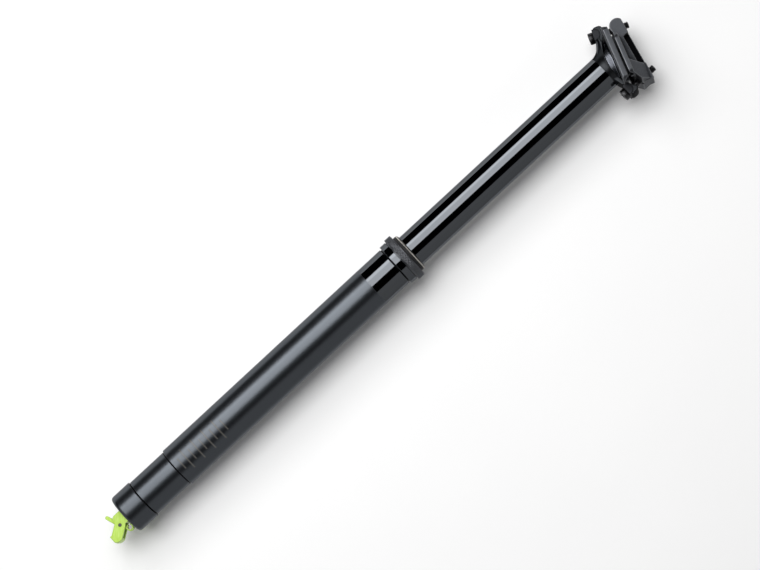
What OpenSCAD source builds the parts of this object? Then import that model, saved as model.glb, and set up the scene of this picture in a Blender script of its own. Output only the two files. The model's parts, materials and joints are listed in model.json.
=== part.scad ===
// Height-adjustable seatpost for a bicycle, shown at full height.
// +Z runs up the post, +X points to the front of the bicycle and +Y to its left.
// The origin lies on the post's axis, at the shoulder that limits how deep the post goes into the frame.
// Sizes are in millimetres.

/* [Tubes] */
// Outside diameter of the tube that the frame clamps
tube_od = 30.9; // [30.4:0.1:34.9]
// Wall of the outer tube
tube_wall = 1.95; // [1.8:0.05:2.4]
// Wall of the sliding bushings
bushing_wall = 0.75; // [0.6:0.05:1]
// Wall of the stanchion
stanchion_wall = 1.5; // [1.3:0.1:1.8]
// How far the saddle drops
travel = 180; // [120:5:210]
// Length of the turned-down neck above the bottom cap
neck_len = 32.7; // [20:0.1:40]
// How much the neck is turned down on its radius
neck_step = 0.85; // [0.4:0.05:0.9]
// Length of the bottom cap
cap_len = 17; // [14:0.5:24]
// Radius of the bottom cap's lower edge
cap_round = 2; // [1:0.25:3]

/* [Guides] */
// Length of the upper bushing
upper_bushing_len = 30; // [20:1:40]
// Length of the lower bushing
lower_bushing_len = 4.5; // [3:0.5:10]
// Length of a guide key
key_len = 10; // [6:0.5:16]
// Width of a guide key
key_w = 3; // [2:0.1:4]
// Depth of a keyway in the outer tube
keyway_depth = 0.5; // [0.4:0.05:0.6]
// Number of guide keys
key_count = 3; // [2:1:4]
// Thickness of the upper bumper ring
top_bumper_len = 3; // [2:0.5:5]
// Thickness of the lower bumper disc
bottom_bumper_len = 2.7; // [2:0.1:6]

/* [Collar] */
// Gap between the shoulder of the outer tube and the collar
collar_gap = 0.9; // [0.5:0.1:2]
// Height of the glossy sleeve of the collar
sleeve_len = 5.1; // [4:0.1:8]
// How far the sleeve stands out from the tube
sleeve_step = 1.4; // [1.2:0.1:2.4]
// Height of the thin groove between sleeve and flange
collar_groove = 0.5; // [0.3:0.1:1]
// Height of the flange
flange_len = 5.4; // [4.4:0.1:8]
// How far the flange stands out from the tube
flange_step = 2.8; // [2.4:0.1:4]
// Height of the wiper above the collar
lip_len = 3.9; // [3:0.1:6]
// Thickness of the wiper round the stanchion
lip_wall = 2.4; // [2:0.1:3]

/* [Cartridge] */
// Wall of the cartridge body
cartridge_wall = 0.8; // [0.6:0.1:1]
// Radial room for the floating piston round the inner oil tube
gas_room = 2.95; // [2.6:0.05:3.2]
// Wall of the inner oil tube
inner_tube_wall = 1; // [0.6:0.1:1.2]
// Radial room for the oil round the cartridge rod
oil_room = 1.75; // [1.5:0.05:2]
// Diameter of the release pin
pin_d = 3; // [2.4:0.1:3.4]
// Height of the rod guide
guide_len = 12; // [10:1:16]
// Height of the main piston
piston_len = 14; // [12:1:20]
// Height of the floating piston
floater_len = 8; // [6:0.5:12]
// Height of the floating piston's rest place above the rod guide
floater_rise = 74; // [20:1:80]

/* [Saddle clamp] */
// Diameter of a saddle rail
rail_d = 7; // [6.8:0.1:8]
// Distance between the two rails
rail_gauge = 44; // [42:0.5:46]
// Slope of the rails, front end down
rail_tilt = 20; // [14:1:22]
// Height of the rails above the foot of the head
rail_rise = 17.6; // [17.2:0.1:20]
// Length of the lower clamp along the rails
lower_len = 42; // [36:1:46]
// Length of the upper clamp's wings along the rails
upper_len = 32; // [28:1:36]
// Radius of the cradle that the lower clamp turns in
cradle_r = 30; // [28:0.5:34]
// Depth of the cradle's floor below the rails
cradle_drop = 10; // [9.4:0.1:10.6]
// Width of the cradle
cradle_w = 26.4; // [24:0.2:26.8]
// Diameter of the clamp bolts
bolt_d = 5; // [4:0.5:5.5]
// Length of a clamp bolt below its head
bolt_len = 26; // [25:0.5:30]
// Diameter of a bolt head
bolt_head_d = 8.5; // [8:0.1:9]
// Height of a bolt head
bolt_head_len = 3.6; // [3:0.1:6]
// Diameter of the barrel nuts
nut_d = 9.4; // [9:0.1:10]
// Radius of the half-round washers under the ears
washer_r = 4; // [3.6:0.1:4.2]
// Width of the ears and of the half-round washers
ear_w = 17; // [14:0.5:18]

/* [Release] */
// Thickness of a side plate of the bracket
plate_t = 2.2; // [1.8:0.1:2.6]
// Thickness of the release lever
lever_t = 4.4; // [3.6:0.1:5]
// Distance of the lever's axle in front of the release pin
axle_x = 3.4; // [3.2:0.1:4]
// Distance of the lever's axle below the bottom cap
axle_drop = 7; // [6.6:0.1:9]
// Diameter of the lever's axle
axle_d = 2.4; // [2:0.1:2.6]
// Diameter of the seat for the cable housing
housing_d = 4.2; // [4.1:0.1:4.6]
// Depth of the seat for the cable housing
housing_depth = 5; // [4:0.5:6]

/* [Clearances] */
// Radial clearance of pieces that run on each other
run_clear = 0.05; // [0.02:0.01:0.08]
// Gap between pieces that pass without touching
free_gap = 0.3; // [0.2:0.05:0.4]
// Radial clearance of threads and seats within one body
seat_clear = 0.05; // [0:0.01:0.1]

/* [Hidden] */
$fn = 96;

// Overshoot of cutting shapes
cut = 1;
// Edge break of machined rings
edge = 0.6;

// Diameters, from the outside in
tube_id = tube_od - 2 * tube_wall;
spigot_step = 0.75;
spigot_od = tube_od - 2 * spigot_step;
stanchion_od = tube_id - 2 * run_clear - 2 * bushing_wall;
stanchion_id = stanchion_od - 2 * stanchion_wall;
cartridge_gap = 0.2;
cartridge_od = stanchion_id - 2 * cartridge_gap;
cartridge_id = cartridge_od - 2 * cartridge_wall;
inner_tube_od = cartridge_id - 2 * gas_room;
inner_tube_id = inner_tube_od - 2 * inner_tube_wall;
rod_d = inner_tube_id - 2 * oil_room;
stanchion_r = stanchion_od / 2;

// Heights of the collar and the wiper
spigot_len = collar_gap + sleeve_len + 3;
flange_z = collar_gap + sleeve_len + collar_groove;
collar_top = flange_z + flange_len;
wiper_seat = collar_top - 1.9;
wiper_top = collar_top + lip_len;

// Heights of the guides inside the outer tube
bushing_top = -1.5;
stop_gap = 0.5;
top_bumper_z = bushing_top - upper_bushing_len - top_bumper_len;
key_top = top_bumper_z - stop_gap;
key_bottom = key_top - key_len;
slider_bottom = key_bottom - stop_gap - lower_bushing_len;
drop_bottom = slider_bottom - travel;
bumper_z = drop_bottom - free_gap - bottom_bumper_len;
cap_spigot_len = 7.4;
cap_shoulder = bumper_z - cap_spigot_len;
neck_top = cap_shoulder + neck_len;
cap_bottom = cap_shoulder - cap_len;

// Guide keys
key_sink = 0.7;
key_r_in = stanchion_r - key_sink;
key_r_out = tube_id / 2 + keyway_depth - 0.1;
key_turn = 360 / key_count;

// Small round-section seals
thin_ring = 0.7;
ring_cs = 1;

// Heights of the head and the cartridge
head_gap = 2.2;
head_z = wiper_top + travel + head_gap;
web_t = 4;
web_top = head_z - 3;
web_bottom = web_top - web_t;
plug_len = 5;
plug_bottom = web_bottom - plug_len;
cartridge_lift = 4;
cartridge_bottom = slider_bottom + cartridge_lift;
guide_top = cartridge_bottom + guide_len;
piston_gap = 3;
piston_bottom = guide_top + piston_gap;
piston_top = piston_bottom + piston_len;
rod_seat_len = 8;
rod_top = piston_bottom + rod_seat_len;
floater_z = guide_top + floater_rise;

// Filling valve
gas_nut_rim = 2.5;
gas_nut_af = stanchion_id - 7.4;
gas_nut_len = 3;
neck_d = gas_nut_af - 2 * gas_nut_rim;
gas_neck_top = web_top + gas_nut_len + free_gap;
stem_d = 6.4;
stem_len = 3.5;
core_d = 4;
gas_cap_d = 8.4;
gas_cap_roof = 1.2;
recess_d = gas_nut_af / cos(30) + 1.1;

// Saddle clamp, in a frame whose X runs forward along the rails and whose Z stands square to them
rail_z = head_z + rail_rise;
rail_r = rail_d / 2;
rail_y = rail_gauge / 2;
cradle_h = cradle_r - cradle_drop;
wing_out = rail_y + rail_r + 1;
wing_in = cradle_w / 2 + 1.1;
wing_base = -5.2;
wing_lip = 0.5;
lower_shift = 1.2;
upper_shift = 4;
front_nut = [19, 10.8];
rear_nut = [-20, 6.8];
function tilted(p) = [p.x * cos(rail_tilt) + p.y * sin(rail_tilt),
                      rail_z - p.x * sin(rail_tilt) + p.y * cos(rail_tilt)];
front_end = tilted(front_nut);
rear_end = tilted(rear_nut);

// Pivots of the half-round washers: a little outside the nuts, and a depth below the cradle
function cradle_at(u) = cradle_h - sqrt(cradle_r * cradle_r - u * u);
front_out = front_nut.x + 5.67;
rear_out = rear_nut.x - 0.67;
front_deep = 7.36;
rear_deep = 8.55;
front_pivot = tilted([front_out, cradle_at(front_out) - front_deep]);
rear_pivot = tilted([rear_out, cradle_at(rear_out) - rear_deep]);
function lean(p, q) = atan2(q.x - p.x, q.y - p.y);
front_lean = lean(front_pivot, front_end);
rear_lean = lean(rear_pivot, rear_end);
washer_flat = 1;
ear_half = 5;
ear_foot = 0.5;
ear_top = 6.8;
ear_hole_d = bolt_d + 2;
flare_r = 14;
thread_clear = 0.3;
head_room = 0.45;
lobe_w = 18;
spine_w = 4;
nut_w = 12;
wing_rim = 4.2;
top_mid = 13.5;
top_rise = 0.103;
function top_line(u) = top_mid + top_rise * u;

// Release gear below the bottom cap
axle_z = cap_bottom - axle_drop;
lever_gap = free_gap;
plate_in = lever_t / 2 + lever_gap;
plate_out = plate_in + plate_t;
crown_len = 2.6;
crown_z = cap_bottom - crown_len;
hub_r = 2.6;
nose_r = 1.3;
pin_tip_d = 2;
pin_gap = 0.15;
pin_bottom = axle_z + nose_r + pin_gap;
pin_tip_len = crown_z - pin_bottom + 1;
arm_w = 8;
arm_end = [axle_x + 4.6, axle_z - 6.8];
arm_foot = axle_z - 10.9;
arm_front = axle_x + 8.5;
crown_rear = axle_x - 8;
crown_front = axle_x + 1.8;
hook_at = [5.4, 4];
hook_wall = 1;
fin_at = [-10.6, -3.9];
barrel_d = 3.2;
poppet_d = 4.4;
poppet_head_d = 7;

// Ring between two diameters and two heights
module ring(od, id, z0, z1) {
    translate([0, 0, z0])
        difference() {
            cylinder(d = od, h = z1 - z0);
            translate([0, 0, -cut]) cylinder(d = id, h = z1 - z0 + 2 * cut);
        }
}

// Round-section seal
module oring(mean_d, cs, z) {
    translate([0, 0, z])
        rotate_extrude()
            translate([mean_d / 2, 0]) circle(d = cs, $fn = 32);
}

// Groove with straight walls round a shaft
module groove(od, depth, w, z) {
    ring(od + 2 * cut, od - 2 * depth, z - w / 2, z + w / 2);
}

// Rectangle with round corners, centred
module round_rect(x, y, r) {
    square([x, y - 2 * r], center = true);
    square([x - 2 * r, y], center = true);
    for (sx = [-1, 1], sy = [-1, 1])
        translate([sx * (x / 2 - r), sy * (y / 2 - r)]) circle(r = r, $fn = 48);
}

// Straight bar with round ends between two points
module bar(p, q, w) {
    along = q - p;
    translate(p)
        rotate(atan2(along.y, along.x)) {
            translate([0, -w / 2]) square([norm(along), w]);
            circle(d = w, $fn = 48);
            translate([norm(along), 0]) circle(d = w, $fn = 48);
        }
}

// Carries a side view, drawn in X and Z, through a width across the post
module across(w) {
    rotate([90, 0, 0]) linear_extrude(w, center = true) children();
}

// Carries a front view, drawn in Y and Z, along the rails
module along_rails(len) {
    rotate([90, 0, 90]) linear_extrude(len, center = true) children();
}

// Puts a shape drawn in the rails' frame on the head
module on_rails() {
    translate([0, 0, rail_z]) rotate([0, rail_tilt, 0]) children();
}

// Puts a shape drawn along Z on a clamp bolt, from the washer's pivot up
module on_bolt(pivot, turn) {
    translate([pivot.x, 0, pivot.y]) rotate([0, turn, 0]) children();
}

module on_front_bolt() {
    on_bolt(front_pivot, front_lean) children();
}

module on_rear_bolt() {
    on_bolt(rear_pivot, rear_lean) children();
}

// Cylinder across the post, placed in a side view
module cross_bar(p, d, w) {
    across(w) translate(p) circle(d = d);
}

module outer_tube() {
    color("#1b1c1f")
        difference() {
            union() {
                ring(spigot_od, tube_id, -cut, spigot_len);
                ring(tube_od, tube_id, neck_top, 0);
                ring(tube_od - 2 * neck_step, tube_id, cap_shoulder, neck_top);
            }
            keyways();
            groove(spigot_od, thin_ring, thin_ring, spigot_len - 3);
        }
}

// Straight grooves in the bore of the outer tube
module keyways() {
    keyway_top = bushing_top - upper_bushing_len;
    keyway_bottom = drop_bottom - stop_gap;
    keyway_w = key_w + 4 * run_clear;
    for (i = [0 : key_count - 1])
        rotate(i * key_turn)
            translate([0, -keyway_w / 2, keyway_bottom])
                intersection() {
                    cube([tube_od, keyway_w, keyway_top - keyway_bottom]);
                    translate([0, keyway_w / 2, -cut])
                        cylinder(r = tube_id / 2 + keyway_depth, h = keyway_top - keyway_bottom + 2 * cut);
                }
}

module collar() {
    sleeve_r = tube_od / 2 + sleeve_step;
    flange_r = tube_od / 2 + flange_step;
    bore_r = spigot_od / 2 + seat_clear;
    seat_r = stanchion_r + lip_wall - 0.9;
    throat_r = stanchion_r + 0.6;
    color("#202124")
        rotate_extrude()
            polygon([
                [bore_r, collar_gap], [sleeve_r - edge / 2, collar_gap], [sleeve_r, collar_gap + edge / 2],
                [sleeve_r, flange_z - collar_groove], [sleeve_r - edge, flange_z - collar_groove],
                [sleeve_r - edge, flange_z], [flange_r - edge, flange_z], [flange_r, flange_z + edge],
                [flange_r, collar_top - edge], [flange_r - edge, collar_top], [seat_r, collar_top],
                [seat_r, wiper_seat], [throat_r, wiper_seat], [throat_r, spigot_len], [bore_r, spigot_len]
            ]);
}

module collar_oring() {
    color("#111111")
        oring(spigot_od + 2 * seat_clear - thin_ring, thin_ring, spigot_len - 3);
}

module wiper_seal() {
    inner = stanchion_r + run_clear;
    base = stanchion_r + lip_wall - 0.9;
    lip = stanchion_r + lip_wall;
    color("#161616")
        difference() {
            rotate_extrude()
                polygon([
                    [inner, wiper_seat], [base, wiper_seat], [base, collar_top], [lip, collar_top],
                    [lip, wiper_top - 1.6], [lip - 0.4, wiper_top - 0.8], [inner + 0.7, wiper_top],
                    [inner, wiper_top]
                ]);
            groove(2 * lip, thin_ring, thin_ring, wiper_top - 1.2);
        }
}

module wiper_spring() {
    lip = 2 * (stanchion_r + lip_wall);
    color("#c9ccd0")
        ring(lip - 0.2, lip - 2 * thin_ring, wiper_top - 1.2 - thin_ring / 2, wiper_top - 1.2 + thin_ring / 2);
}

module upper_bushing() {
    split_w = 1.5;
    color("#8a7a4a")
        difference() {
            ring(tube_id, stanchion_od + 2 * run_clear, bushing_top - upper_bushing_len, bushing_top);
            translate([-tube_od, -split_w / 2, bushing_top - upper_bushing_len - cut])
                cube([tube_od, split_w, upper_bushing_len + 2 * cut]);
        }
}

module top_bumper() {
    color("#2c2c2c")
        ring(tube_id, stanchion_od + 2 * free_gap, top_bumper_z, top_bumper_z + top_bumper_len);
}

module bottom_cap() {
    color("#24262a")
        difference() {
            union() {
                translate([0, 0, cap_bottom + cap_round]) cylinder(d = tube_od, h = cap_len - cap_round);
                translate([0, 0, cap_bottom]) cylinder(d = tube_od - 2 * cap_round, h = cap_round + cut);
                translate([0, 0, cap_bottom + cap_round])
                    rotate_extrude()
                        translate([tube_od / 2 - cap_round, 0]) circle(r = cap_round, $fn = 48);
                translate([0, 0, cap_shoulder]) cylinder(d = tube_id, h = cap_spigot_len);
            }
            translate([0, 0, cap_bottom - cut]) cylinder(d = rod_d, h = cap_len + cap_spigot_len + 2 * cut);
            groove(tube_id, ring_cs, ring_cs, cap_shoulder + cap_spigot_len / 2);
        }
}

module cap_oring() {
    color("#111111")
        oring(tube_id - ring_cs, ring_cs, cap_shoulder + cap_spigot_len / 2);
}

module bottom_bumper() {
    color("#2c2c2c")
        ring(tube_id - 2 * free_gap, rod_d, bumper_z, bumper_z + bottom_bumper_len);
}

module cartridge_rod() {
    color("#d4d6d8")
        ring(rod_d, pin_d + 2 * run_clear, crown_z, rod_top);
}

module main_piston() {
    piston_d = inner_tube_id - 2 * run_clear;
    color("#b8bcc0")
        difference() {
            translate([0, 0, piston_bottom]) cylinder(d = piston_d, h = piston_len);
            translate([0, 0, piston_bottom - cut]) cylinder(d = rod_d, h = rod_seat_len + cut);
            translate([0, 0, rod_top - cut]) cylinder(d = poppet_d + 2 * free_gap, h = piston_len);
            groove(piston_d, ring_cs, ring_cs, piston_bottom + rod_seat_len / 2);
        }
}

module piston_seal() {
    color("#111111")
        oring(inner_tube_id - 2 * run_clear - ring_cs, ring_cs, piston_bottom + rod_seat_len / 2);
}

// Side view of one plate of the bracket: a crown under the cap and an arm that slants forward and down
module bracket_plate() {
    intersection() {
        union() {
            translate([crown_rear, crown_z - 3]) square([crown_front - crown_rear, crown_len + 3]);
            bar([crown_rear + 3.6, crown_z - 3], [axle_x, axle_z], 7.2);
            bar([axle_x, axle_z], arm_end, arm_w);
            translate([arm_end.x - 3.1, arm_foot]) square([arm_w - 1.2, arm_end.y - arm_foot]);
        }
        polygon([
            [crown_rear, cap_bottom], [crown_rear, arm_foot], [arm_front - 1.7, arm_foot],
            [arm_front, arm_foot + 2.2], [arm_front, cap_bottom]
        ]);
    }
}

// Solid end of the arm between the plates, which takes the cable housing from below
module housing_block() {
    intersection() {
        across(2 * plate_in + plate_t) bracket_plate();
        translate([arm_end.x - arm_w, -plate_out, arm_foot])
            cube([2 * arm_w, 2 * plate_out, housing_depth + 1.2]);
    }
}

module actuator_bracket() {
    cable_d = 2;
    color("#a9d13a")
        difference() {
            union() {
                for (side = [-1, 1])
                    translate([0, side * (plate_in + plate_out) / 2, 0]) across(plate_t) bracket_plate();
                across(2 * plate_in + plate_t)
                    translate([crown_rear, crown_z]) square([crown_front - crown_rear, crown_len]);
                housing_block();
            }
            cross_bar([axle_x, axle_z], axle_d, 4 * plate_out);
            translate([0, 0, crown_z - cut]) cylinder(d = rod_d, h = crown_len + 2 * cut);
            translate([arm_end.x, 0, arm_foot - cut]) cylinder(d = housing_d, h = housing_depth + cut);
            translate([arm_end.x, 0, arm_foot]) cylinder(d = cable_d, h = 2 * housing_depth);
        }
}

module pivot_pin() {
    color("#c9ccd0")
        cross_bar([axle_x, axle_z], axle_d, 2 * plate_out + 0.4);
}

// Rocker between the plates: a nose under the pin, a fin to the rear and a hook for the cable end in front
module release_lever() {
    axle = [axle_x, axle_z];
    color("#9bc433")
        across(lever_t)
            difference() {
                union() {
                    translate(axle) circle(r = hub_r);
                    bar(axle, [0, axle_z], 2 * nose_r);
                    bar(axle + [-1.5, -0.9], axle + fin_at, 2.6);
                    bar(axle + [1.2, 0.2], axle + hook_at - [0.4, 1.4], 2.4);
                    translate(axle + hook_at) circle(r = barrel_d / 2 + hook_wall);
                }
                translate(axle) circle(d = axle_d + 2 * run_clear);
                translate(axle + hook_at) circle(d = barrel_d);
                translate(axle + hook_at) rotate(160) translate([0, -0.8]) square([barrel_d, 1.6]);
            }
}

module release_pin() {
    color("#d4d6d8") {
        translate([0, 0, pin_bottom]) cylinder(d = pin_tip_d, h = pin_tip_len + cut);
        translate([0, 0, pin_bottom + pin_tip_len])
            cylinder(d = pin_d, h = rod_top + free_gap - pin_bottom - pin_tip_len);
    }
}

module valve_poppet() {
    color("#b08d3c")
        translate([0, 0, rod_top + free_gap]) {
            cylinder(d = poppet_d, h = piston_top - rod_top);
            translate([0, 0, piston_top - rod_top]) cylinder(d = poppet_head_d, h = 1.5);
        }
}

// Solid of revolution that flares the round post out into the head
module head_flare() {
    flare_sink = 0.25;
    flare_foot = head_z + 0.8;
    translate([0, 0, flare_foot])
        difference() {
            cylinder(r = stanchion_r + 0.8 * flare_r, h = flare_r);
            rotate_extrude() translate([stanchion_r + flare_r - flare_sink, 0]) circle(r = flare_r);
        }
}

// Ear with round corners that a bolt passes through, and the arm that carries it
module ear(pivot, turn) {
    middle = pivot + 0.55 * ear_top * [sin(turn), cos(turn)];
    root = [sign(pivot.x) * 0.45 * stanchion_r, head_z + 5];
    arm = ear_top - 1.4;
    across(ear_w) {
        bar(middle, root, arm);
        translate(pivot)
            rotate(-turn)
                translate([0, (ear_top - ear_foot) / 2]) round_rect(2 * ear_half, ear_top + ear_foot, 2.6);
    }
}

// Half-round seat and bolt hole of an ear
module ear_cut() {
    seat_r = washer_r + run_clear;
    across(2 * ear_w) {
        circle(r = seat_r);
        translate([-seat_r, -2 * ear_top]) square([2 * seat_r, 2 * ear_top]);
    }
    translate([0, 0, -ear_top]) cylinder(d = ear_hole_d, h = 4 * ear_top);
    translate([0, 0, -washer_flat - 2 * bolt_head_len + head_room])
        cylinder(d = bolt_head_d + 4 * head_room, h = 2 * bolt_head_len);
}

module stanchion() {
    tube_top = head_z + 5;
    cheek = 3.4;
    cheek_drop = cradle_drop - 2.5;
    color("#101114")
        difference() {
            union() {
                translate([0, 0, slider_bottom]) cylinder(d = stanchion_od, h = tube_top - slider_bottom);
                intersection() {
                    head_flare();
                    union() {
                        translate([-rail_z, -cradle_w / 2, 0]) cube([2 * rail_z, cradle_w, rail_z]);
                        intersection() {
                            cylinder(r = stanchion_r + cheek, h = rail_z);
                            on_rails()
                                translate([-2 * cradle_r, -2 * cradle_r, -4 * cradle_r - cheek_drop])
                                    cube(4 * cradle_r);
                        }
                    }
                }
                ear(front_pivot, front_lean);
                ear(rear_pivot, rear_lean);
            }
            translate([0, 0, slider_bottom - cut]) cylinder(d = stanchion_id, h = web_bottom - slider_bottom + cut);
            translate([0, 0, web_bottom - cut]) cylinder(d = neck_d + 2 * seat_clear, h = web_t + 2 * cut);
            translate([0, 0, web_top]) cylinder(d = recess_d, h = 2 * rail_rise);
            on_rails() cross_bar([0, cradle_h], 2 * (cradle_r + run_clear), 3 * cradle_w);
            on_front_bolt() ear_cut();
            on_rear_bolt() ear_cut();
            key_pockets();
        }
}

// Flat-bottomed pockets that hold the guide keys
module key_pockets() {
    for (i = [0 : key_count - 1])
        rotate(i * key_turn)
            translate([key_r_in, -key_w / 2, key_bottom]) cube([tube_od, key_w, key_len]);
}

module guide_keys() {
    color("#b08d3c")
        intersection() {
            key_pockets();
            translate([0, 0, key_bottom]) cylinder(r = key_r_out, h = key_len);
        }
}

module lower_bushing() {
    color("#8a7a4a")
        ring(tube_id - 2 * run_clear, stanchion_od, slider_bottom, slider_bottom + lower_bushing_len);
}

module cartridge_body() {
    color("#8f9398")
        ring(cartridge_od, cartridge_id, cartridge_bottom, plug_bottom);
}

module inner_tube() {
    color("#a5a9ad")
        ring(inner_tube_od, inner_tube_id, guide_top, plug_bottom);
}

module rod_guide() {
    seal_h = 2.4;
    color("#b8bcc0")
        difference() {
            ring(cartridge_id, rod_d + 2 * run_clear, cartridge_bottom, guide_top);
            translate([0, 0, cartridge_bottom - cut]) cylinder(d = rod_d + 4, h = seal_h + cut);
            groove(cartridge_id, ring_cs, ring_cs, cartridge_bottom + guide_len * 0.6);
        }
}

module rod_seal() {
    color("#151515")
        ring(rod_d + 4, rod_d + 2 * run_clear, cartridge_bottom, cartridge_bottom + 2.4);
}

module guide_oring() {
    color("#111111")
        oring(cartridge_id - ring_cs, ring_cs, cartridge_bottom + guide_len * 0.6);
}

module cartridge_head() {
    color("#8f9398")
        difference() {
            union() {
                translate([0, 0, plug_bottom]) cylinder(d = stanchion_id, h = plug_len);
                translate([0, 0, web_bottom]) cylinder(d = neck_d, h = gas_neck_top - web_bottom);
                translate([0, 0, gas_neck_top]) cylinder(d = stem_d, h = stem_len);
            }
            translate([0, 0, plug_bottom - cut]) cylinder(d = core_d, h = 2 * rail_rise);
        }
}

module valve_core() {
    color("#b08d3c")
        translate([0, 0, plug_bottom + 1]) cylinder(d = core_d, h = gas_neck_top + stem_len - plug_bottom - 1.4);
}

module valve_cap() {
    cap_h = stem_len + gas_cap_roof;
    color("#202020")
        difference() {
            translate([0, 0, gas_neck_top]) cylinder(d = gas_cap_d, h = cap_h);
            translate([0, 0, gas_neck_top - cut]) cylinder(d = stem_d, h = stem_len + cut);
        }
}

module cartridge_nut() {
    color("#c9ccd0")
        difference() {
            translate([0, 0, web_top]) cylinder(d = gas_nut_af / cos(30), h = gas_nut_len, $fn = 6);
            translate([0, 0, web_top - cut]) cylinder(d = neck_d, h = gas_nut_len + 2 * cut);
        }
}

module floating_piston() {
    outer = cartridge_id - 2 * run_clear;
    inner = inner_tube_od + 2 * run_clear;
    color("#7f8fa0")
        difference() {
            ring(outer, inner, floater_z, floater_z + floater_len);
            groove(outer, ring_cs, ring_cs, floater_z + floater_len / 2);
        }
}

module floating_seals() {
    color("#111111")
        oring(cartridge_id - 2 * run_clear - ring_cs, ring_cs, floater_z + floater_len / 2);
}

// Front view of one wing of the lower clamp, rail groove included
module lower_wing_section() {
    difference() {
        polygon([
            [wing_in - 0.5, wing_base], [wing_out - 1, wing_base], [wing_out, wing_base + 1],
            [wing_out, -wing_lip], [wing_in - 0.5, -wing_lip]
        ]);
        translate([rail_y, 0]) circle(d = rail_d);
        translate([0, -1.8]) square([rail_y - rail_r - 1.4, rail_d]);
    }
}

module lower_clamp() {
    center_front = 15;
    center_rear = -13;
    center_top = -2.4;
    valve_hole_d = gas_cap_d + 3.6;
    color("#3a3b3e")
        on_rails()
            difference() {
                union() {
                    for (side = [0, 1])
                        mirror([0, side, 0])
                            intersection() {
                                along_rails(2 * lower_len) lower_wing_section();
                                translate([lower_shift, 0, -cradle_drop])
                                    linear_extrude(2 * cradle_drop) round_rect(lower_len, 2 * wing_out, 4);
                            }
                    intersection() {
                        translate([center_rear, -cradle_w / 2, -cradle_drop - cut])
                            cube([center_front - center_rear, cradle_w, cradle_drop + cut + center_top]);
                        cross_bar([0, cradle_h], 2 * cradle_r, 2 * cradle_w);
                    }
                    translate([center_rear, -wing_in, wing_base])
                        cube([center_front - center_rear, 2 * wing_in, center_top - wing_base]);
                }
                translate([0, 0, -2 * cradle_drop]) cylinder(d = valve_hole_d, h = 4 * cradle_drop);
            }
}

// Front view of the upper clamp's wings, rail grooves included
module upper_section() {
    wing_root = 5.4;
    difference() {
        polygon([
            [-wing_out, wing_lip + 0.4], [wing_out, wing_lip + 0.4], [wing_out, wing_rim], [0, wing_root],
            [-wing_out, wing_rim]
        ]);
        for (side = [-1, 1])
            translate([side * rail_y, 0]) circle(d = rail_d);
        translate([-rail_y + rail_r + 1.4, 0]) square([rail_gauge - rail_d - 2.8, 3.2]);
    }
}

// Side view of the body: a round rear lobe and a square front lobe under one straight top line
module upper_side() {
    front_r = 5.5;
    rear_r = 5.7;
    front_under = 3.9;
    rear_under = 1.7;
    intersection() {
        union() {
            translate(front_nut) circle(r = front_r);
            translate(front_nut) square([front_r, lower_len]);
            translate(rear_nut) circle(r = rear_r);
            polygon([
                [rear_nut.x, rear_under], [front_nut.x, front_under], front_nut + [0, lower_len],
                rear_nut + [0, lower_len]
            ]);
        }
        polygon([
            [-lower_len, -lower_len], [lower_len, -lower_len], [lower_len, top_line(lower_len)],
            [-lower_len, top_line(-lower_len)]
        ]);
    }
}

// Flanks that run from the front lobe out to the wings
module front_flank() {
    flank_top = top_mid + 0.9;
    flank_foot = wing_rim - 0.4;
    flank_rear = 8.5;
    flank_slope = 4.5;
    flank_front = front_nut.x + 5;
    intersection() {
        along_rails(2 * lower_len)
            polygon([
                [-wing_out + 0.5, flank_foot], [wing_out - 0.5, flank_foot], [lobe_w / 2 - 1, flank_top],
                [1 - lobe_w / 2, flank_top]
            ]);
        across(2 * wing_out)
            polygon([
                [flank_rear, flank_foot], [upper_shift + upper_len / 2 - 1, flank_foot],
                [flank_front, wing_rim + 3.5], [flank_front, flank_top], [flank_rear + flank_slope, flank_top]
            ]);
    }
}

// Pocket on both sides of the spine: the wall beside it is cut down and the floor lies deeper still
module spine_pockets() {
    wall = 2.4;
    wall_drop = 4.6;
    floor_drop = 8;
    rear = -11;
    front = 10;
    flare = 2.6;
    for (side = [0, 1])
        mirror([0, side, 0]) {
            translate([0, spine_w / 2 + wing_out / 2, 0])
                across(wing_out)
                    polygon([
                        [rear, top_line(rear) - wall_drop], [front, top_line(front) - wall_drop],
                        [front + flare, top_line(front) + cut], [rear - flare, top_line(rear) + cut]
                    ]);
            translate([0, lobe_w / 4 + spine_w / 4 - wall / 2, 0])
                across(lobe_w / 2 - spine_w / 2 - wall)
                    polygon([
                        [rear, top_line(rear) - floor_drop], [front, top_line(front) - floor_drop],
                        [front, top_line(front)], [rear, top_line(rear)]
                    ]);
        }
}

// Rib below the spine that closes the view between the clamp's halves
module keel() {
    keel_rear = -16.4;
    keel_front = 14;
    keel_drop = 1.9;
    across(spine_w)
        translate([keel_rear, -keel_drop]) square([keel_front - keel_rear, wing_rim + keel_drop]);
}

// Half-round seat for a barrel nut, open at the top of the lobe
module nut_pocket(at) {
    pocket_d = nut_d + 2 * run_clear;
    across(nut_w + 2 * free_gap)
        translate(at) {
            circle(d = pocket_d);
            translate([-pocket_d / 2, 0]) square([pocket_d, 2 * nut_d]);
        }
}

// Slot that lets a bolt lean as the clamp turns
module bolt_slot(at, turn) {
    slot_w = bolt_d + 1;
    slot_l = bolt_d + 2.6;
    translate([at.x, 0, at.y])
        rotate([0, turn - rail_tilt, 0])
            translate([0, 0, -2 * cradle_drop])
                linear_extrude(4 * cradle_drop)
                    bar([-(slot_l - slot_w) / 2, 0], [(slot_l - slot_w) / 2, 0], slot_w);
}

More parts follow.
